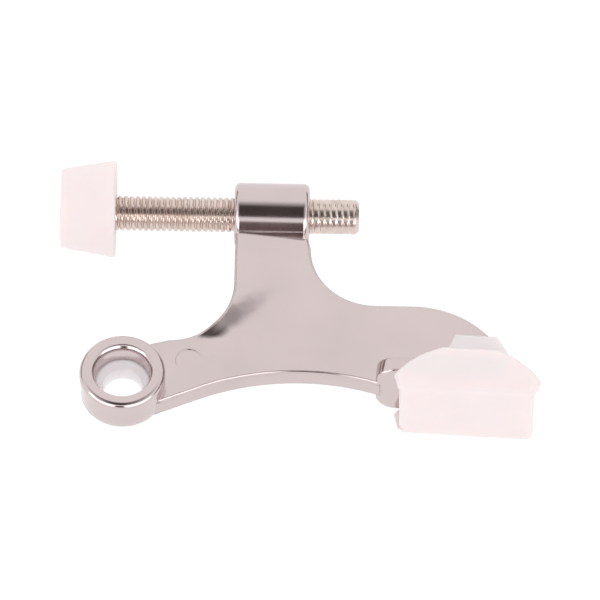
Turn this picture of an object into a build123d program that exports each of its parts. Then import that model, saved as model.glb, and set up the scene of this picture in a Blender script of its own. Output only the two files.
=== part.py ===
from build123d import *
from math import ceil, cos, hypot, radians, sin, sqrt
import os

# Hinge pin door stop: a die-cast body with an eye for the hinge pin, an arm that ends in a
# foot with a rubber boot, and a neck with a threaded barrel that carries an adjusting screw
# with a rubber tip. Origin on the hinge pin axis, in the seat face of the pin bush.
# Millimetres, Z up along the hinge pin, X along the adjusting screw.

# Clearances between mating pieces, and how far the tools that cut them run out
PRESS_GAP = 0.02
THREAD_GAP = 0.05
BOOT_GAP = 0.03
CUT_RUN = 1.0

# Hinge pin bush
PIN_HOLE_R = 3.3
BUSH_FLANGE_R = 5.5
BUSH_FLANGE_T = 1.0
BUSH_BORE_H = 3.0
BUSH_MOUTH_R = 4.25
BUSH_H = 4.0

# Eye of the body
EYE_R_TOP = 7.25
EYE_R_FOOT = 7.0
EYE_H = 6.9
EYE_EDGE_R = 0.95
EYE_FOOT_BEVEL = 0.3
EYE_BORE_R = 4.6
EYE_SINK_R = 5.15
EYE_SINK_H = 1.2

# Plate, arm and neck
PLATE_T = 3.4
PLATE_BEVEL = 0.4
FRONT_ARC_R = 43.0
FRONT_ARC_X = 29.8
FRONT_ARC_CREST_Y = 2.35
FRONT_ARC_X0 = 12.65
FRONT_END_SHARE = 0.4
FRONT_FOOT_INSET = 0.66
FRONT_FOOT_STEP = 0.3
ARM_BACK_Y = 16.15
ARM_END_ARC_R = 17.1
ARM_END_ARC_X = 48.5
ARM_END_MID_ANGLE = 50.0
ARM_START_X = 42.15
NECK_RIGHT_ARC_R = 11.1
NECK_INSET = 0.8
NECK_LEFT_X = 18.3
NECK_LEFT_ARC_R = 10.7
NECK_LEFT_ARC_Y = 19.3
EYE_TANGENT_ANGLE = 79.0

# Swell of the neck's upper face along its left edge
SWELL_H = 1.15
SWELL_ANGLE = 35.4
SWELL_MID_X = 16.7
SWELL_MID_Y = 12.0
SWELL_NARROW = 1.3
SWELL_WIDE = 3.9
SWELL_SPREAD = 8.0
SWELL_SPREAD_LEAD = 4.8
SWELL_LEAD = 6.0
SWELL_RISE = 4.0
SURFACE_STEP = 2.5
SURFACE_TOL = 0.02

# Threaded barrel
SCREW_Y = 34.36
SCREW_Z = 2.2
BARREL_R = 5.5
BARREL_X0 = 18.0
BARREL_L = 12.7
BARREL_EDGE_R = 1.0
BARREL_SINK = 0.45

# Foot of the arm
FOOT_X = 42.5
FOOT_Y = 0.5
FOOT_ANGLE = -2.7
FOOT_W = 23.2
FOOT_T = 2.7
FOOT_Z0 = -4.5
FOOT_H = 12.0
FOOT_CORNER_R = 3.3
FOOT_BEVEL = 0.4
FOOT_INSET = 1.0

# Ejector pin witness in the plate
WITNESS_R = 2.2
WITNESS_X = 11.0
WITNESS_Y = 4.4
WITNESS_DEPTH = 0.1
WITNESS_TILT = 1.82

# Adjusting screw, M6 with a pitch of 1 mm, drawn at its crest diameter
SCREW_R = 2.95
SCREW_END_X = 39.05
SCREW_IN_TIP_X = -8.0
SCREW_CHAMFER = 0.6

# Rubber tip on the screw
TIP_X0 = -11.35
TIP_L = 9.25
TIP_FACE_R = 6.65
TIP_BACK_R = 8.25
TIP_BEVEL = 0.3
TIP_HOLE_END = 0.2
TIP_OFF_AXIS_Y = 0.8

# Rubber boot on the foot
BOOT_WALL = 3.95
BOOT_LIP = 1.2
BOOT_X0 = 4.1
BOOT_X1 = 26.6
BOOT_LIP_X0 = 3.2
BOOT_LIP_X1 = 27.8
BOOT_ARC_R = 15.0
BOOT_ARC_X = 15.55
BOOT_ARC_Y = -9.5
BOOT_BACK_Y = 4.8
BOOT_CORNER_R = 1.2
BOOT_BEVEL = 0.4
TONGUE_X0 = 9.8
TONGUE_SLANT = 3.0
TONGUE_BACK_Y = 10.2
TONGUE_T = 0.6

# Reach of a search for edges and corners by their place
NEAR = 0.1

# Heights above the seat face of the bush
BODY_Z = BUSH_FLANGE_T
PLATE_TOP = BODY_Z + PLATE_T


def smooth_step(value):
    value = min(max(value, 0.0), 1.0)
    return value * value * value * (value * (value * 6.0 - 15.0) + 10.0)


def swell(x, y):
    """Height of the neck's swell over the plate, highest along the neck's left edge."""
    along_x = cos(radians(SWELL_ANGLE))
    along_y = sin(radians(SWELL_ANGLE))
    along = (x - SWELL_MID_X) * along_x + (y - SWELL_MID_Y) * along_y
    across = (y - SWELL_MID_Y) * along_x - (x - SWELL_MID_X) * along_y
    widen = smooth_step((along + SWELL_SPREAD_LEAD) / SWELL_SPREAD)
    half_width = SWELL_NARROW + (SWELL_WIDE - SWELL_NARROW) * widen
    away_from_eye = smooth_step((along + SWELL_LEAD) / SWELL_RISE)
    across_neck = min(max((BARREL_X0 + BARREL_L - x) / BARREL_L, 0.0), 1.0)
    return SWELL_H * across_neck * away_from_eye * smooth_step(0.5 + 0.5 * across / half_width)


def make_outline():
    """Plan outline of plate, arm and neck, closed inside the eye, the barrel and the foot."""
    front_arc_y = FRONT_ARC_CREST_Y - FRONT_ARC_R
    front_arc_y0 = front_arc_y + sqrt(FRONT_ARC_R ** 2 - (FRONT_ARC_X0 - FRONT_ARC_X) ** 2)
    front_slope = (FRONT_ARC_X - FRONT_ARC_X0) / (front_arc_y0 - front_arc_y)
    front_x0 = EYE_R_FOOT * FRONT_END_SHARE
    front_y0 = front_arc_y0 - front_slope * (FRONT_ARC_X0 - front_x0)
    front_x1 = FOOT_X + FRONT_FOOT_INSET
    front_y1 = front_arc_y + sqrt(FRONT_ARC_R ** 2 - (front_x1 - FRONT_ARC_X) ** 2)
    end_arc_y = ARM_BACK_Y - ARM_END_ARC_R
    foot_rise = FOOT_T / 2
    foot_in_x = FOOT_X + FOOT_W - FOOT_INSET
    foot_in_y = FOOT_Y + (foot_in_x - FOOT_X) * sin(radians(FOOT_ANGLE)) + foot_rise
    end_x = ARM_END_ARC_X + sqrt(ARM_END_ARC_R ** 2 - (foot_in_y - end_arc_y) ** 2)
    right_arc_y = ARM_BACK_Y + NECK_RIGHT_ARC_R
    neck_right_x = ARM_START_X - NECK_RIGHT_ARC_R
    neck_end_x = BARREL_X0 + BARREL_L - NECK_INSET
    neck_end_y = SCREW_Y - BARREL_R / 2
    left_arc_x = NECK_LEFT_X - NECK_LEFT_ARC_R
    tangent_x = EYE_R_FOOT * cos(radians(EYE_TANGENT_ANGLE))
    tangent_y = EYE_R_FOOT * sin(radians(EYE_TANGENT_ANGLE))
    left_foot_y = NECK_LEFT_ARC_Y - NECK_LEFT_ARC_R
    with BuildSketch() as outline:
        with BuildLine():
            Line((0, 0), (front_x0, front_y0))
            Line((front_x0, front_y0), (FRONT_ARC_X0, front_arc_y0))
            ThreePointArc(
                (FRONT_ARC_X0, front_arc_y0),
                (FRONT_ARC_X, FRONT_ARC_CREST_Y),
                (front_x1, front_y1),
            )
            Line((front_x1, front_y1), (front_x1 + FRONT_FOOT_STEP, FOOT_Y + foot_rise))
            Line((front_x1 + FRONT_FOOT_STEP, FOOT_Y + foot_rise), (end_x, foot_in_y))
            end_arc_mid = radians(ARM_END_MID_ANGLE)
            ThreePointArc(
                (end_x, foot_in_y),
                (ARM_END_ARC_X + ARM_END_ARC_R * cos(end_arc_mid),
                 end_arc_y + ARM_END_ARC_R * sin(end_arc_mid)),
                (ARM_END_ARC_X, ARM_BACK_Y),
            )
            Line((ARM_END_ARC_X, ARM_BACK_Y), (ARM_START_X, ARM_BACK_Y))
            ThreePointArc(
                (ARM_START_X, ARM_BACK_Y),
                (ARM_START_X - NECK_RIGHT_ARC_R * sqrt(0.5),
                 right_arc_y - NECK_RIGHT_ARC_R * sqrt(0.5)),
                (neck_right_x, right_arc_y),
            )
            Line((neck_right_x, right_arc_y), (neck_end_x, neck_end_y))
            Line((neck_end_x, neck_end_y), (NECK_LEFT_X, neck_end_y))
            Line((NECK_LEFT_X, neck_end_y), (NECK_LEFT_X, NECK_LEFT_ARC_Y))
            ThreePointArc(
                (NECK_LEFT_X, NECK_LEFT_ARC_Y),
                (left_arc_x + NECK_LEFT_ARC_R * sqrt(0.5),
                 NECK_LEFT_ARC_Y - NECK_LEFT_ARC_R * sqrt(0.5)),
                (left_arc_x, left_foot_y),
            )
            Line((left_arc_x, left_foot_y), (tangent_x, tangent_y))
            Line((tangent_x, tangent_y), (0, 0))
        make_face()
    return outline.sketch


def make_plate():
    """Plate, arm and neck under one smooth upper face that swells along the neck."""
    outline = make_outline()
    reach = outline.bounding_box()
    columns = ceil((reach.size.X + 2 * SURFACE_STEP) / SURFACE_STEP) + 1
    rows = ceil((reach.size.Y + 2 * SURFACE_STEP) / SURFACE_STEP) + 1
    x_steps = [reach.min.X + SURFACE_STEP * (i - 1) for i in range(columns)]
    y_steps = [reach.min.Y + SURFACE_STEP * (j - 1) for j in range(rows)]
    grid = [[Vector(x, y, PLATE_TOP + swell(x, y)) for y in y_steps] for x in x_steps]
    upper_face = Face.make_surface_from_array_of_points(grid, tol=SURFACE_TOL, min_deg=3, max_deg=3)
    below = extrude(upper_face, amount=2 * (PLATE_T + SWELL_H), dir=(0, 0, -1))
    prism = extrude(Pos(0, 0, BODY_Z) * outline, amount=PLATE_T + 2 * SWELL_H)
    plate = prism & below
    top_edges = [
        e for e in plate.edges()
        if e.center().Z > PLATE_TOP - NEAR
        and hypot(e.center().X, e.center().Y) > EYE_R_FOOT
        and e.center().Y < SCREW_Y - BARREL_R / 2 - NEAR
        and not (e.center().X > FOOT_X and e.center().Y < FOOT_Y + FOOT_T)
    ]
    return chamfer(top_edges, PLATE_BEVEL)


def make_eye():
    """Eye for the hinge pin, drawn in with a little draft and rounded at its upper rim."""
    with BuildSketch(Plane.XZ) as profile:
        with BuildLine():
            Polyline(
                (0, BODY_Z),
                (EYE_R_FOOT, BODY_Z),
                (EYE_R_TOP, BODY_Z + EYE_H),
                (0, BODY_Z + EYE_H),
                close=True,
            )
        make_face()
        outer = profile.vertices().group_by(Axis.X)[-1]
        fillet(outer, EYE_EDGE_R)
        lower = [v for v in profile.vertices() if abs(v.X - EYE_R_FOOT) < NEAR and v.Z < BODY_Z + NEAR]
        chamfer(lower, EYE_FOOT_BEVEL)
    return revolve(profile.sketch, Axis.Z)


def make_barrel():
    """Barrel that carries the adjusting screw, with rounded ends."""
    barrel = Pos(BARREL_X0, SCREW_Y, BODY_Z + SCREW_Z) * Rot(0, 90, 0) * Cylinder(
        BARREL_R, BARREL_L, align=(Align.CENTER, Align.CENTER, Align.MIN))
    return fillet(barrel.edges(), BARREL_EDGE_R)


def foot_frame():
    return Pos(FOOT_X, FOOT_Y, BODY_Z) * Rot(0, 0, FOOT_ANGLE)


def make_foot():
    """Upright pad at the end of the arm that the rubber boot is pulled over."""
    pad = Pos(FOOT_W / 2, FOOT_T / 2, FOOT_Z0 + FOOT_H / 2) * Box(FOOT_W, FOOT_T, FOOT_H)
    pad = fillet(pad.edges().filter_by(Axis.Y), FOOT_CORNER_R)
    rims = [e for e in pad.edges() if abs(e.center().Y) < NEAR]
    pad = chamfer(rims, FOOT_BEVEL)
    return foot_frame() * pad


def make_body():
    body = make_plate() + make_eye() + make_barrel() + make_foot()
    eye_bore = Pos(0, 0, BODY_Z - CUT_RUN) * Cylinder(
        EYE_BORE_R, EYE_H + 2 * CUT_RUN, align=(Align.CENTER, Align.CENTER, Align.MIN))
    eye_sink = Pos(0, 0, BODY_Z + EYE_H - EYE_SINK_H) * Cone(
        EYE_BORE_R, EYE_SINK_R, EYE_SINK_H, align=(Align.CENTER, Align.CENTER, Align.MIN))
    screw_axis = Pos(BARREL_X0, SCREW_Y, BODY_Z + SCREW_Z) * Rot(0, 90, 0)
    hole_r = SCREW_R + THREAD_GAP
    screw_hole = screw_axis * Pos(0, 0, -CUT_RUN) * Cylinder(
        hole_r, BARREL_L + 2 * CUT_RUN, align=(Align.CENTER, Align.CENTER, Align.MIN))
    left_sink = screw_axis * Cone(
        hole_r + BARREL_SINK, hole_r, BARREL_SINK, align=(Align.CENTER, Align.CENTER, Align.MIN))
    right_sink = screw_axis * Pos(0, 0, BARREL_L - BARREL_SINK) * Cone(
        hole_r, hole_r + BARREL_SINK, BARREL_SINK, align=(Align.CENTER, Align.CENTER, Align.MIN))
    witness = Pos(WITNESS_X, WITNESS_Y, PLATE_TOP - WITNESS_DEPTH / 2) * Rot(
        -WITNESS_TILT, -WITNESS_TILT, 0) * Cylinder(
        WITNESS_R, CUT_RUN, align=(Align.CENTER, Align.CENTER, Align.MIN))
    return body - eye_bore - eye_sink - screw_hole - left_sink - right_sink - witness


def make_bush():
    """Flanged nylon bush, pressed into the eye from below, with a wide mouth on top."""
    with BuildSketch(Plane.XZ) as profile:
        with BuildLine():
            Polyline(
                (PIN_HOLE_R, 0),
                (BUSH_FLANGE_R, 0),
                (BUSH_FLANGE_R, BUSH_FLANGE_T),
                (EYE_BORE_R - PRESS_GAP, BUSH_FLANGE_T),
                (EYE_BORE_R - PRESS_GAP, BUSH_H),
                (BUSH_MOUTH_R, BUSH_H),
                (PIN_HOLE_R, BUSH_BORE_H),
                close=True,
            )
        make_face()
    return revolve(profile.sketch, Axis.Z)


def make_screw():
    length = SCREW_END_X - SCREW_IN_TIP_X
    screw = Cylinder(SCREW_R, length, align=(Align.CENTER, Align.CENTER, Align.MIN))
    screw = chamfer(screw.edges(), SCREW_CHAMFER)
    return Pos(SCREW_IN_TIP_X, SCREW_Y, BODY_Z + SCREW_Z) * Rot(0, 90, 0) * screw


def make_tip():
    """Rubber tip, wider towards the barrel, with a blind hole a little off its middle for the screw."""
    tip = Cone(TIP_FACE_R, TIP_BACK_R, TIP_L, align=(Align.CENTER, Align.CENTER, Align.MIN))
    tip = chamfer(tip.edges(), TIP_BEVEL)
    hole_start = SCREW_IN_TIP_X - TIP_HOLE_END - TIP_X0
    hole = Pos(0, -TIP_OFF_AXIS_Y, hole_start) * Cylinder(
        SCREW_R + THREAD_GAP, TIP_L, align=(Align.CENTER, Align.CENTER, Align.MIN))
    return Pos(TIP_X0, SCREW_Y + TIP_OFF_AXIS_Y, BODY_Z + SCREW_Z) * Rot(0, 90, 0) * (tip - hole)


def boot_plan(x0, x1):
    """Plan of the boot: straight front, back rounded along one arc with a flat crest."""
    crest_half = sqrt(BOOT_ARC_R ** 2 - (BOOT_BACK_Y - BOOT_ARC_Y) ** 2)
    crest_x0 = BOOT_ARC_X - crest_half
    crest_x1 = BOOT_ARC_X + crest_half
    mid_x0 = (x0 + crest_x0) / 2
    mid_x1 = (x1 + crest_x1) / 2

    def arc_y(x):
        return BOOT_ARC_Y + sqrt(BOOT_ARC_R ** 2 - (x - BOOT_ARC_X) ** 2)

    with BuildSketch() as plan:
        with BuildLine():
            Line((BOOT_X0, -BOOT_WALL), (BOOT_X1, -BOOT_WALL))
            Line((BOOT_X1, -BOOT_WALL), (x1, arc_y(x1)))
            ThreePointArc((x1, arc_y(x1)), (mid_x1, arc_y(mid_x1)), (crest_x1, BOOT_BACK_Y))
            Line((crest_x1, BOOT_BACK_Y), (crest_x0, BOOT_BACK_Y))
            ThreePointArc((crest_x0, BOOT_BACK_Y), (mid_x0, arc_y(mid_x0)), (x0, arc_y(x0)))
            Line((x0, arc_y(x0)), (BOOT_X0, -BOOT_WALL))
        make_face()
    return plan.sketch


def boot_slab(x0, x1, low, high, rim_z):
    """One level of the boot, with its front corners rounded and the rim at rim_z bevelled."""
    slab = extrude(Pos(0, 0, low) * boot_plan(x0, x1), amount=high - low)
    corners = [e for e in slab.edges().filter_by(Axis.Z) if e.center().Y < NEAR - BOOT_WALL]
    slab = fillet(corners, BOOT_CORNER_R)
    rim = [e for e in slab.edges() if rim_z is not None and abs(e.center().Z - rim_z) < NEAR]
    return chamfer(rim, BOOT_BEVEL) if rim else slab


def make_boot():
    """Rubber boot over the foot: thick front wall, lips over and under, open at its left end."""
    low = FOOT_Z0 - BOOT_LIP
    high = FOOT_Z0 + FOOT_H + BOOT_LIP
    cap = boot_slab(BOOT_X0, BOOT_X1, low + BOOT_LIP, high - BOOT_LIP, None)
    cap += boot_slab(BOOT_LIP_X0, BOOT_LIP_X1, high - BOOT_LIP, high, high)
    cap += boot_slab(BOOT_LIP_X0, BOOT_X1, low, low + BOOT_LIP, low)

    tongue_x1 = ARM_END_ARC_X + ARM_END_ARC_R - FOOT_X
    tongue_plan = Polygon(
        (TONGUE_X0, FOOT_T),
        (tongue_x1, FOOT_T),
        (tongue_x1, TONGUE_BACK_Y),
        (TONGUE_X0 + TONGUE_SLANT, TONGUE_BACK_Y),
        align=None,
    )
    tongue_area = extrude(Pos(0, 0, -TONGUE_T) * tongue_plan, amount=PLATE_T + 2 * TONGUE_T)
    arm_round = Pos(ARM_END_ARC_X, ARM_BACK_Y - ARM_END_ARC_R, BODY_Z + PLATE_T / 2) * Cylinder(
        ARM_END_ARC_R + TONGUE_T, PLATE_T + 2 * TONGUE_T)
    boot = foot_frame() * cap + (foot_frame() * tongue_area & arm_round)

    foot_space = Pos(FOOT_W / 2, FOOT_T / 2, FOOT_Z0 + FOOT_H / 2) * Box(
        FOOT_W + 2 * BOOT_GAP, FOOT_T + 2 * BOOT_GAP, FOOT_H + 2 * BOOT_GAP)
    foot_space = fillet(foot_space.edges().filter_by(Axis.Y), FOOT_CORNER_R + BOOT_GAP)
    plate_space = extrude(
        Pos(0, 0, BODY_Z - BOOT_GAP) * offset(make_outline(), BOOT_GAP), amount=PLATE_T + 2 * BOOT_GAP)
    return boot - foot_frame() * foot_space - plate_space


os.makedirs("parts", exist_ok=True)
pieces = {
    "body": make_body(),
    "pin_bush": make_bush(),
    "adjusting_screw": make_screw(),
    "screw_tip": make_tip(),
    "foot_boot": make_boot(),
}
for name, piece in pieces.items():
    export_step(piece, os.path.join("parts", name + ".step"))
    box = piece.bounding_box()
    print(name, len(piece.solids()), "solid", round(piece.volume, 1), box.min, box.max)
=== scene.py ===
import bmesh
import bpy
from math import cos, pi, radians, sin
from mathutils import Matrix, Vector


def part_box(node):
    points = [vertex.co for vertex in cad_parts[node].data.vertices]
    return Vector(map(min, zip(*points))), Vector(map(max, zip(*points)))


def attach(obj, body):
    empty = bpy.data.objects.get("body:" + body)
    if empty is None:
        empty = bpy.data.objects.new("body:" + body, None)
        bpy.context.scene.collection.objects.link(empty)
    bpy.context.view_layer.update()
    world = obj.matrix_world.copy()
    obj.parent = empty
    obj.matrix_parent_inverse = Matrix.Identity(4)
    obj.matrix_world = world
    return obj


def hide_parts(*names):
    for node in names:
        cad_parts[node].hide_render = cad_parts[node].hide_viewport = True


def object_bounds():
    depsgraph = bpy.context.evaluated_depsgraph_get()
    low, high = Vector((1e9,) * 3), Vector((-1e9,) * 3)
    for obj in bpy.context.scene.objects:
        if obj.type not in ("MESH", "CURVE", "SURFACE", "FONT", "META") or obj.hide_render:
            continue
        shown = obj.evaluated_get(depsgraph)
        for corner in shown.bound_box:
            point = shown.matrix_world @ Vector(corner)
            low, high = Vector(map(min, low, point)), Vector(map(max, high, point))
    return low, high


# Dressed model of a hinge pin door stop. Metres, Z up along the hinge pin, X along the screw.

MM = 0.001

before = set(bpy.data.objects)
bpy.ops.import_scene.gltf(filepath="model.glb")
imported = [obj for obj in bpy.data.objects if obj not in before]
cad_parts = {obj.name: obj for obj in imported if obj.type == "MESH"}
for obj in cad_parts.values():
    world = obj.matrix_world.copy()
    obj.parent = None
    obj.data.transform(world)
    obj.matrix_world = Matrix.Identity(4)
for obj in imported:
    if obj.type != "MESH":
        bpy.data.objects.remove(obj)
cad_low, cad_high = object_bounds()

# Adjusting screw's thread
PITCH = 1.0 * MM
CREST_R = 2.93 * MM
ROOT_R = 2.6 * MM
WORN_ROOT_R = 2.84 * MM
CREST_SHARE = 0.42
WORN_CREST_SHARE = 0.68
ROOT_SHARE = 0.14
WORN_FROM = 0.60
WORN_TO = 0.80
THREAD_PHASE = 0.0
THREAD_STEPS = 8
THREAD_SIDES = 64
THREAD_EDGE_TURN = radians(25)
END_CHAMFER = 0.55 * MM
SHORT_EDGE = 0.0002 * MM

# Shading of the solids' meshes
MERGE_DISTANCE = 0.0005 * MM
BIG_FACE_WEIGHT = 60
FACET_TURN = radians(20)
BEVEL_TURN_MIN = radians(38)
BEVEL_TURN_MAX = radians(52)
TOP_FACE_Z = 0.9

# Rounded lead-in at the top of the eye's bore, from its lower to its upper border
LEAD_IN_R = (4.5 * MM, 5.2 * MM)
LEAD_IN_Z = (6.7 * MM, 7.9 * MM)
LEAD_IN_TILT = (radians(80), radians(30))
LEAD_IN_UPWARD = 0.1

# Materials
CORNER_SAMPLES = 8
BLEED_BY_COLOR = (1.0, 0.8, 0.7)
DRIFT_RANGE = (0.3, 0.7)
DRIFT_DETAIL = 3.0
GRAIN_DETAIL = 2.0

# Camera: long lens, seen from above the front
CAMERA_AZIMUTH = radians(1.2)
CAMERA_ELEVATION = radians(57.5)
VIEW_WIDTH = 100.8 * MM
LENS = 800.0
SENSOR = 36.0
CLIP_START = 0.1
CLIP_END = 100.0
EYE_FOOT_Z = 1.0 * MM
LOOK_RIGHT = 29.79 * MM
LOOK_UP = 15.47 * MM

# Studio: white floor and world, and cards that only reflections see
FLOOR_SIZE = 12.0
SET_RADIUS = 5.0
WORLD_GLOW = 1.05
FLOOR_GLOW = 1.03
FLOOR_PAINT = 0.015
SOFTBOX_GLOW = 2.2
CARD_STEPS = 32
WHITE = (1.0, 1.0, 1.0)
FLAG_TINT = (1.0, 0.78, 0.74)
GAP_TINT = (1.0, 0.5, 0.5)


# Shader nodes

def new_material(name):
    material = bpy.data.materials.new(name)
    material.use_nodes = True
    nodes = material.node_tree.nodes
    nodes.clear()
    out = nodes.new("ShaderNodeOutputMaterial")
    out.location = (600, 0)
    return material, nodes, material.node_tree.links, out


def group_sockets(group, inputs, outputs):
    for name, kind, value in inputs:
        socket = group.interface.new_socket(name=name, in_out="INPUT", socket_type=kind)
        socket.default_value = value
    for name, kind in outputs:
        group.interface.new_socket(name=name, in_out="OUTPUT", socket_type=kind)
    entry = group.nodes.new("NodeGroupInput")
    leave = group.nodes.new("NodeGroupOutput")
    return entry, leave


def surface_group():
    """Fine unevenness that every surface here has: tint and gloss that drift, and a fine relief."""
    group = bpy.data.node_groups.new("surface_unevenness", "ShaderNodeTree")
    entry, leave = group_sockets(
        group,
        (
            ("Light tint", "NodeSocketColor", (1, 1, 1, 1)),
            ("Deep tint", "NodeSocketColor", (0.9, 0.9, 0.9, 1)),
            ("Smooth", "NodeSocketFloat", 0.2),
            ("Rough", "NodeSocketFloat", 0.3),
            ("Drift scale", "NodeSocketFloat", 120.0),
            ("Grain scale", "NodeSocketFloat", 3000.0),
            ("Grain share", "NodeSocketFloat", 0.5),
        ),
        (("Color", "NodeSocketColor"), ("Roughness", "NodeSocketFloat"), ("Height", "NodeSocketFloat")),
    )
    nodes, links = group.nodes, group.links
    place = nodes.new("ShaderNodeTexCoord")
    drift = nodes.new("ShaderNodeTexNoise")
    drift.inputs["Detail"].default_value = DRIFT_DETAIL
    grain = nodes.new("ShaderNodeTexNoise")
    grain.inputs["Detail"].default_value = GRAIN_DETAIL
    for texture, name in ((drift, "Drift scale"), (grain, "Grain scale")):
        links.new(place.outputs["Object"], texture.inputs["Vector"])
        links.new(entry.outputs[name], texture.inputs["Scale"])
    spread = nodes.new("ShaderNodeMapRange")
    spread.inputs["From Min"].default_value = DRIFT_RANGE[0]
    spread.inputs["From Max"].default_value = DRIFT_RANGE[1]
    links.new(drift.outputs["Fac"], spread.inputs["Value"])
    mask = spread.outputs["Result"]
    tint = nodes.new("ShaderNodeMix")
    tint.data_type = "RGBA"
    links.new(mask, tint.inputs["Factor"])
    links.new(entry.outputs["Light tint"], tint.inputs["A"])
    links.new(entry.outputs["Deep tint"], tint.inputs["B"])
    gloss = nodes.new("ShaderNodeMix")
    links.new(mask, gloss.inputs["Factor"])
    links.new(entry.outputs["Smooth"], gloss.inputs["A"])
    links.new(entry.outputs["Rough"], gloss.inputs["B"])
    relief = nodes.new("ShaderNodeMix")
    links.new(entry.outputs["Grain share"], relief.inputs["Factor"])
    links.new(drift.outputs["Fac"], relief.inputs["A"])
    links.new(grain.outputs["Fac"], relief.inputs["B"])
    links.new(tint.outputs["Result"], leave.inputs["Color"])
    links.new(gloss.outputs["Result"], leave.inputs["Roughness"])
    links.new(relief.outputs["Result"], leave.inputs["Height"])
    return group


UNEVENNESS = surface_group()


def finish_material(name, light, deep, smooth, rough, drift, grain, share, depth,
                    metallic=0.0, subsurface=0.0, bleed=1.0 * MM, rounding=0.0):
    """A finish with drifting tint and gloss, fine relief and, where asked for, rounded corners."""
    material, nodes, links, out = new_material(name)
    uneven = nodes.new("ShaderNodeGroup")
    uneven.node_tree = UNEVENNESS
    uneven.inputs["Light tint"].default_value = (*light, 1)
    uneven.inputs["Deep tint"].default_value = (*deep, 1)
    uneven.inputs["Smooth"].default_value = smooth
    uneven.inputs["Rough"].default_value = rough
    uneven.inputs["Drift scale"].default_value = drift
    uneven.inputs["Grain scale"].default_value = grain
    uneven.inputs["Grain share"].default_value = share
    relief = nodes.new("ShaderNodeBump")
    relief.inputs["Distance"].default_value = depth
    links.new(uneven.outputs["Height"], relief.inputs["Height"])
    if rounding:
        corners = nodes.new("ShaderNodeBevel")
        corners.samples = CORNER_SAMPLES
        corners.inputs["Radius"].default_value = rounding
        links.new(corners.outputs["Normal"], relief.inputs["Normal"])
    shader = nodes.new("ShaderNodeBsdfPrincipled")
    shader.inputs["Metallic"].default_value = metallic
    if subsurface:
        shader.inputs["Subsurface Weight"].default_value = subsurface
        shader.inputs["Subsurface Radius"].default_value = BLEED_BY_COLOR
        shader.inputs["Subsurface Scale"].default_value = bleed
    links.new(uneven.outputs["Color"], shader.inputs["Base Color"])
    links.new(uneven.outputs["Roughness"], shader.inputs["Roughness"])
    links.new(relief.outputs["Normal"], shader.inputs["Normal"])
    links.new(shader.outputs["BSDF"], out.inputs["Surface"])
    return material


satin_nickel = finish_material(
    "satin_nickel", light=(0.65, 0.555, 0.55), deep=(0.62, 0.525, 0.525), smooth=0.12, rough=0.18,
    drift=90.0, grain=2500.0, share=0.6, depth=0.002 * MM, metallic=1.0, rounding=0.25 * MM)
screw_steel = finish_material(
    "screw_steel", light=(0.76, 0.65, 0.60), deep=(0.62, 0.51, 0.46), smooth=0.20, rough=0.30,
    drift=500.0, grain=4000.0, share=0.6, depth=0.004 * MM, metallic=1.0)
white_rubber = finish_material(
    "white_rubber", light=(0.915, 0.81, 0.805), deep=(0.89, 0.785, 0.785), smooth=0.55, rough=0.65,
    drift=150.0, grain=2500.0, share=0.7, depth=0.01 * MM, subsurface=0.5, bleed=2.0 * MM,
    rounding=0.6 * MM)
white_nylon = finish_material(
    "white_nylon", light=(0.99, 0.945, 0.965), deep=(0.97, 0.92, 0.94), smooth=0.35, rough=0.45,
    drift=200.0, grain=2500.0, share=0.6, depth=0.005 * MM, subsurface=0.3)


# Pieces made from the solids

def make_child(piece, body, material, slot, *nodes):
    """Give a piece its material, and let it ride a body in place of that body's nodes. Its slot argument is
    not used.
    """
    piece.data.materials.clear()
    piece.data.materials.append(material)
    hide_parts(*nodes)
    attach(piece, body)


def is_smooth(edge, soft_bevels):
    """Facets of round faces blend, and so do bevels, except into a top face, which stays even."""
    if len(edge.link_faces) != 2:
        return False
    turn = edge.calc_face_angle()
    on_top = max(face.normal.z for face in edge.link_faces) > TOP_FACE_Z
    soft = soft_bevels and not on_top and BEVEL_TURN_MIN < turn < BEVEL_TURN_MAX
    return turn < FACET_TURN or soft


def smooth_copy(node, name, soft_bevels=True):
    """A copy of a solid's mesh, with its faces joined and its shading smooth across roundings."""
    piece = bpy.data.objects.new(name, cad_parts[node].data.copy())
    bpy.context.scene.collection.objects.link(piece)
    mesh = bmesh.new()
    mesh.from_mesh(piece.data)
    bmesh.ops.remove_doubles(mesh, verts=mesh.verts, dist=MERGE_DISTANCE)
    bmesh.ops.dissolve_degenerate(mesh, edges=mesh.edges, dist=MERGE_DISTANCE)
    for face in mesh.faces:
        face.smooth = True
    for edge in mesh.edges:
        edge.smooth = is_smooth(edge, soft_bevels)
    mesh.to_mesh(piece.data)
    mesh.free()
    weighted = piece.modifiers.new("even_shading", "WEIGHTED_NORMAL")
    weighted.keep_sharp = True
    weighted.weight = BIG_FACE_WEIGHT
    bake_modifiers(piece)
    return piece


def bake_modifiers(piece):
    """Turn a piece's modifiers into plain mesh."""
    graph = bpy.context.evaluated_depsgraph_get()
    made = bpy.data.meshes.new_from_object(piece.evaluated_get(graph), preserve_all_data_layers=True,
                                           depsgraph=graph)
    piece.modifiers.clear()
    piece.data = made


def round_lead_in(piece):
    """Shade the cone at the top of the eye's bore as the rounding that it stands for."""
    mesh = piece.data
    normals = [corner.vector.copy() for corner in mesh.corner_normals]
    low, high = LEAD_IN_Z
    for face in mesh.polygons:
        in_ring = LEAD_IN_R[0] < face.center.xy.length < LEAD_IN_R[1]
        if not (in_ring and low < face.center.z < high and face.normal.z > LEAD_IN_UPWARD):
            continue
        for loop in face.loop_indices:
            place = mesh.vertices[mesh.loops[loop].vertex_index].co
            share = (place.z - low) / (high - low)
            tilt = LEAD_IN_TILT[0] + (LEAD_IN_TILT[1] - LEAD_IN_TILT[0]) * share
            inward = -place.xy.normalized() * sin(tilt)
            normals[loop] = Vector((inward.x, inward.y, cos(tilt)))
    mesh.normals_split_custom_set(normals)
    return piece


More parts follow.
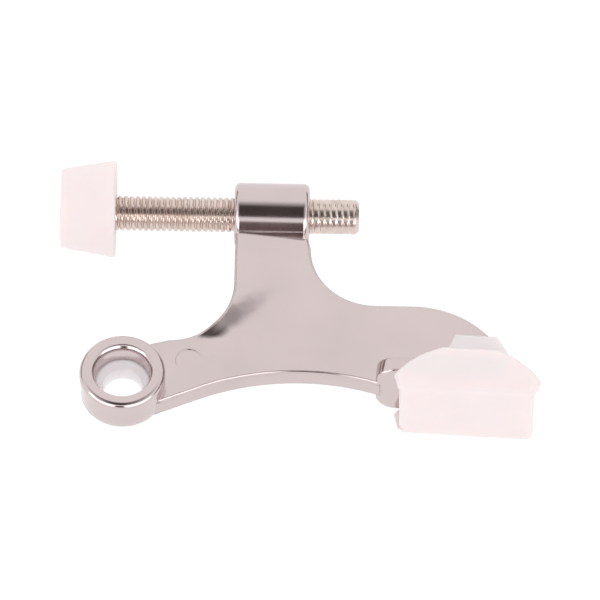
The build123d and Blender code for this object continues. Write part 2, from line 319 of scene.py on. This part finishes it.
# Threaded screw, by geometry nodes

def math_node(nodes, links, operation, *values):
    node = nodes.new("ShaderNodeMath")
    node.operation = operation
    for socket, value in zip(node.inputs, values):
        if isinstance(value, (int, float)):
            socket.default_value = value
        else:
            links.new(value, socket)
    return node.outputs[0]


def thread_tree():
    """A rod along X with a right-hand thread, whose crests widen towards its far end."""
    tree = bpy.data.node_groups.new("threaded_rod", "GeometryNodeTree")
    sizes = (
        ("Start", "NodeSocketFloat"), ("Length", "NodeSocketFloat"), ("Pitch", "NodeSocketFloat"),
        ("Crest radius", "NodeSocketFloat"), ("Root radius", "NodeSocketFloat"),
        ("Worn root radius", "NodeSocketFloat"), ("Crest share", "NodeSocketFloat"),
        ("Worn crest share", "NodeSocketFloat"), ("Root share", "NodeSocketFloat"),
        ("Worn from", "NodeSocketFloat"), ("Worn to", "NodeSocketFloat"),
        ("Phase", "NodeSocketFloat"), ("Chamfer", "NodeSocketFloat"),
        ("Axis Y", "NodeSocketFloat"), ("Axis Z", "NodeSocketFloat"),
        ("Rings", "NodeSocketInt"), ("Sides", "NodeSocketInt"), ("Finish", "NodeSocketMaterial"),
    )
    for name, kind in sizes:
        tree.interface.new_socket(name=name, in_out="INPUT", socket_type=kind)
    tree.interface.new_socket(name="Geometry", in_out="OUTPUT", socket_type="NodeSocketGeometry")
    nodes, links = tree.nodes, tree.links
    given = nodes.new("NodeGroupInput").outputs
    leave = nodes.new("NodeGroupOutput")
    grid = nodes.new("GeometryNodeMeshGrid")
    links.new(given["Rings"], grid.inputs["Vertices X"])
    links.new(given["Sides"], grid.inputs["Vertices Y"])
    spot = nodes.new("GeometryNodeInputPosition")
    split = nodes.new("ShaderNodeSeparateXYZ")
    links.new(spot.outputs[0], split.inputs[0])

    def calc(operation, *values):
        return math_node(nodes, links, operation, *values)

    u = calc("ADD", split.outputs["X"], 0.5)
    v = calc("ADD", split.outputs["Y"], 0.5)
    ring_share = calc("DIVIDE", 1.0, calc("SUBTRACT", given["Rings"], 1.0))
    wall_share = calc("SUBTRACT", 1.0, calc("MULTIPLY", ring_share, 2.0))
    inner = calc("DIVIDE", calc("SUBTRACT", u, ring_share), wall_share)
    inner = calc("MINIMUM", calc("MAXIMUM", inner, 0.0), 1.0)
    along = calc("ADD", given["Start"], calc("MULTIPLY", inner, given["Length"]))
    turns = calc("ADD", calc("SUBTRACT", calc("DIVIDE", along, given["Pitch"]), v), given["Phase"])
    turn = calc("SUBTRACT", turns, calc("FLOOR", turns))
    off_crest = calc("MULTIPLY", calc("ABSOLUTE", calc("SUBTRACT", turn, 0.5)), 2.0)
    worn_span = calc("SUBTRACT", given["Worn to"], given["Worn from"])
    worn = calc("DIVIDE", calc("SUBTRACT", inner, given["Worn from"]), worn_span)
    worn = calc("MINIMUM", calc("MAXIMUM", worn, 0.0), 1.0)

    def towards_worn(fresh, used):
        return calc("ADD", given[fresh], calc("MULTIPLY", calc("SUBTRACT", given[used], given[fresh]), worn))

    crest = towards_worn("Crest share", "Worn crest share")
    root_radius = towards_worn("Root radius", "Worn root radius")
    flank = calc("SUBTRACT", calc("SUBTRACT", 1.0, crest), given["Root share"])
    down = calc("DIVIDE", calc("SUBTRACT", off_crest, crest), flank)
    down = calc("MINIMUM", calc("MAXIMUM", down, 0.0), 1.0)
    depth = calc("SUBTRACT", given["Crest radius"], root_radius)
    radius = calc("SUBTRACT", given["Crest radius"], calc("MULTIPLY", down, depth))
    to_end = calc("MULTIPLY", calc("SUBTRACT", 1.0, inner), given["Length"])
    bevel = calc("ADD", calc("SUBTRACT", given["Crest radius"], given["Chamfer"]), to_end)
    radius = calc("MINIMUM", radius, bevel)
    from_cap = calc("MINIMUM", u, calc("SUBTRACT", 1.0, u))
    is_wall = calc("GREATER_THAN", from_cap, calc("MULTIPLY", ring_share, 0.5))
    radius = calc("MULTIPLY", radius, is_wall)
    angle = calc("MULTIPLY", v, 2 * pi)
    y = calc("ADD", given["Axis Y"], calc("MULTIPLY", radius, calc("COSINE", angle)))
    z = calc("ADD", given["Axis Z"], calc("MULTIPLY", radius, calc("SINE", angle)))
    join = nodes.new("ShaderNodeCombineXYZ")
    for socket, value in zip(join.inputs, (along, y, z)):
        links.new(value, socket)
    bend = nodes.new("GeometryNodeSetPosition")
    links.new(grid.outputs["Mesh"], bend.inputs["Geometry"])
    links.new(join.outputs[0], bend.inputs["Position"])
    seam = nodes.new("GeometryNodeMergeByDistance")
    seam.inputs["Distance"].default_value = MERGE_DISTANCE
    links.new(bend.outputs["Geometry"], seam.inputs["Geometry"])
    real = nodes.new("GeometryNodeRealizeInstances")
    links.new(seam.outputs["Geometry"], real.inputs["Geometry"])
    coat = nodes.new("GeometryNodeSetMaterial")
    links.new(real.outputs["Geometry"], coat.inputs["Geometry"])
    links.new(given["Finish"], coat.inputs["Material"])
    links.new(coat.outputs["Geometry"], leave.inputs["Geometry"])
    return tree


def make_screw():
    """The screw's rod with its thread, in place of the plain one."""
    low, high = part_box("adjusting_screw")
    length = high.x - low.x
    values = {
        "Start": low.x, "Length": length, "Pitch": PITCH, "Crest radius": CREST_R, "Root radius": ROOT_R,
        "Worn root radius": WORN_ROOT_R, "Crest share": CREST_SHARE, "Worn crest share": WORN_CREST_SHARE,
        "Root share": ROOT_SHARE, "Worn from": WORN_FROM, "Worn to": WORN_TO, "Phase": THREAD_PHASE,
        "Chamfer": END_CHAMFER, "Axis Y": (low.y + high.y) / 2, "Axis Z": (low.z + high.z) / 2,
        "Rings": int(length / PITCH * THREAD_STEPS) + 3, "Sides": THREAD_SIDES + 1, "Finish": screw_steel,
    }
    piece = bpy.data.objects.new("threaded_screw", bpy.data.meshes.new("threaded_screw"))
    bpy.context.scene.collection.objects.link(piece)
    turned = piece.modifiers.new("thread", "NODES")
    tree = thread_tree()
    turned.node_group = tree
    for item in tree.interface.items_tree:
        if item.in_out == "INPUT":
            turned[item.identifier] = values[item.name]
    bake_modifiers(piece)
    mesh = bmesh.new()
    mesh.from_mesh(piece.data)
    bmesh.ops.dissolve_degenerate(mesh, edges=mesh.edges, dist=SHORT_EDGE)
    bmesh.ops.recalc_face_normals(mesh, faces=mesh.faces)
    for face in mesh.faces:
        face.smooth = True
    for edge in mesh.edges:
        edge.smooth = len(edge.link_faces) == 2 and edge.calc_face_angle() < THREAD_EDGE_TURN
    mesh.to_mesh(piece.data)
    mesh.free()
    return piece


cast_body = round_lead_in(smooth_copy("body", "cast_body"))
nylon_bush = smooth_copy("pin_bush", "nylon_bush", soft_bevels=False)
rubber_boot = smooth_copy("foot_boot", "rubber_boot")
rubber_tip = smooth_copy("screw_tip", "rubber_tip")
make_child(cast_body, "casting", satin_nickel, "satin_nickel", "body")
make_child(nylon_bush, "casting", white_nylon, "white_nylon", "pin_bush")
make_child(rubber_boot, "casting", white_rubber, "white_rubber", "foot_boot")
make_child(rubber_tip, "tip", white_rubber, "white_rubber", "screw_tip")
make_child(make_screw(), "screw", screw_steel, "screw_steel", "adjusting_screw")


# Studio

def white_world():
    world = bpy.data.worlds.new("white_studio")
    world.use_nodes = True
    world.node_tree.nodes["Background"].inputs["Color"].default_value = (1, 1, 1, 1)
    world.node_tree.nodes["Background"].inputs["Strength"].default_value = WORLD_GLOW
    world.cycles.sampling_method = "NONE"
    bpy.context.scene.world = world


def over_direction(forward, side):
    """Direction at an angle from straight up towards the front, then out to the right."""
    return Vector((sin(side), -sin(forward) * cos(side), cos(forward) * cos(side)))


def around_direction(rise, turn):
    """Direction at a height above the horizon, turned to the right from straight to the front."""
    return Vector((sin(turn) * cos(rise), -cos(turn) * cos(rise), sin(rise)))


def border_fade(share, soft):
    """How far a place on a card, as a share of its width, has faded out towards its two borders."""
    return max(1.0 - share / soft[0], 1.0 - (1.0 - share) / soft[1], 0.0)


def studio_card(name, direction, rises, turns, glow, tint, soft_rise, soft_turn, lean=0.0):
    """A curved card on the sphere round the set, light or dark, that only reflections see.

    Its borders fade into the white world over shares of its size, and its lower bound leans
    away to both sides."""
    sheet = bmesh.new()
    fade_layer = sheet.verts.layers.float.new("fade")
    rows = []
    for i in range(CARD_STEPS + 1):
        row = []
        for j in range(CARD_STEPS + 1):
            turn = turns[0] + (turns[1] - turns[0]) * j / CARD_STEPS
            low = rises[0] - lean * abs(turn)
            rise = low + (rises[1] - low) * i / CARD_STEPS
            corner = sheet.verts.new(direction(radians(rise), radians(turn)) * SET_RADIUS)
            fade_up = border_fade(i / CARD_STEPS, soft_rise)
            fade_across = border_fade(j / CARD_STEPS, soft_turn)
            corner[fade_layer] = max(fade_up, fade_across)
            row.append(corner)
        rows.append(row)
    for lower, upper in zip(rows, rows[1:]):
        for j in range(CARD_STEPS):
            sheet.faces.new((lower[j], upper[j], upper[j + 1], lower[j + 1]))
    card = bpy.data.objects.new(name, bpy.data.meshes.new(name))
    sheet.to_mesh(card.data)
    sheet.free()
    bpy.context.scene.collection.objects.link(card)
    material, nodes, links, out = new_material(name)
    fade = nodes.new("ShaderNodeAttribute")
    fade.attribute_name = "fade"
    blend = nodes.new("ShaderNodeMix")
    blend.data_type = "RGBA"
    blend.inputs["A"].default_value = (*(channel * glow for channel in tint), 1)
    blend.inputs["B"].default_value = (WORLD_GLOW, WORLD_GLOW, WORLD_GLOW, 1)
    light = nodes.new("ShaderNodeEmission")
    links.new(fade.outputs["Fac"], blend.inputs["Factor"])
    links.new(blend.outputs["Result"], light.inputs["Color"])
    links.new(light.outputs[0], out.inputs["Surface"])
    card.data.materials.append(material)
    card.visible_camera = False
    card.visible_diffuse = False
    card.visible_transmission = False
    card.visible_shadow = False


def make_floor():
    """A floor that glows as white as the world and takes a faint shadow."""
    low = cad_low.z
    mesh = bpy.data.meshes.new("floor")
    half = FLOOR_SIZE / 2
    corners = [(-half, -half, low), (half, -half, low), (half, half, low), (-half, half, low)]
    mesh.from_pydata(corners, [], [(0, 1, 2, 3)])
    floor = bpy.data.objects.new("floor", mesh)
    bpy.context.scene.collection.objects.link(floor)
    material, nodes, links, out = new_material("white_floor")
    paint = nodes.new("ShaderNodeBsdfDiffuse")
    paint.inputs["Color"].default_value = (FLOOR_PAINT, FLOOR_PAINT, FLOOR_PAINT, 1)
    glow = nodes.new("ShaderNodeEmission")
    glow.inputs["Strength"].default_value = FLOOR_GLOW
    add = nodes.new("ShaderNodeAddShader")
    links.new(paint.outputs[0], add.inputs[0])
    links.new(glow.outputs[0], add.inputs[1])
    links.new(add.outputs[0], out.inputs["Surface"])
    mesh.materials.append(material)


def make_camera():
    """The photograph's view, through a lens long enough to look straight along parallel lines."""
    side = Vector((cos(CAMERA_AZIMUTH), sin(CAMERA_AZIMUTH), 0))
    rise, level = sin(CAMERA_ELEVATION), cos(CAMERA_ELEVATION)
    up = Vector((-sin(CAMERA_AZIMUTH) * rise, cos(CAMERA_AZIMUTH) * rise, level))
    back = side.cross(up)
    look_at = Vector((0, 0, EYE_FOOT_Z)) + side * LOOK_RIGHT + up * LOOK_UP
    distance = VIEW_WIDTH * LENS / SENSOR
    data = bpy.data.cameras.new("camera")
    data.lens = LENS
    data.sensor_width = SENSOR
    data.clip_start = CLIP_START
    data.clip_end = CLIP_END
    camera = bpy.data.objects.new("camera", data)
    bpy.context.scene.collection.objects.link(camera)
    camera.matrix_world = Matrix.Translation(look_at + back * distance) @ Matrix(
        (side, up, back)).transposed().to_4x4()
    bpy.context.scene.camera = camera


white_world()
make_floor()
studio_card("flag_over_camera", over_direction, rises=(-21, 41), turns=(-48, 50), glow=0.05, tint=FLAG_TINT,
            soft_rise=(0.34, 0.06), soft_turn=(0.37, 0.5), lean=0.1)
studio_card("flag_front_gap", around_direction, rises=(-3, 37), turns=(-15, 6), glow=0.085, tint=GAP_TINT,
            soft_rise=(0.1, 0.1), soft_turn=(0.12, 0.12))
studio_card("flag_left", around_direction, rises=(-4, 20), turns=(-150, -100), glow=0.25, tint=FLAG_TINT,
            soft_rise=(0.2, 0.2), soft_turn=(0.1, 0.3))
studio_card("flag_right", around_direction, rises=(-4, 20), turns=(72, 150), glow=0.15, tint=FLAG_TINT,
            soft_rise=(0.2, 0.2), soft_turn=(0.1, 0.1))
studio_card("softbox_left", around_direction, rises=(3, 41), turns=(-80, -15), glow=SOFTBOX_GLOW, tint=WHITE,
            soft_rise=(0.04, 0.04), soft_turn=(0.04, 0.04))
studio_card("softbox_right", around_direction, rises=(3, 41), turns=(6, 68), glow=SOFTBOX_GLOW, tint=WHITE,
            soft_rise=(0.04, 0.04), soft_turn=(0.04, 0.04))
make_camera()
bpy.context.scene.view_settings.view_transform = "Standard"
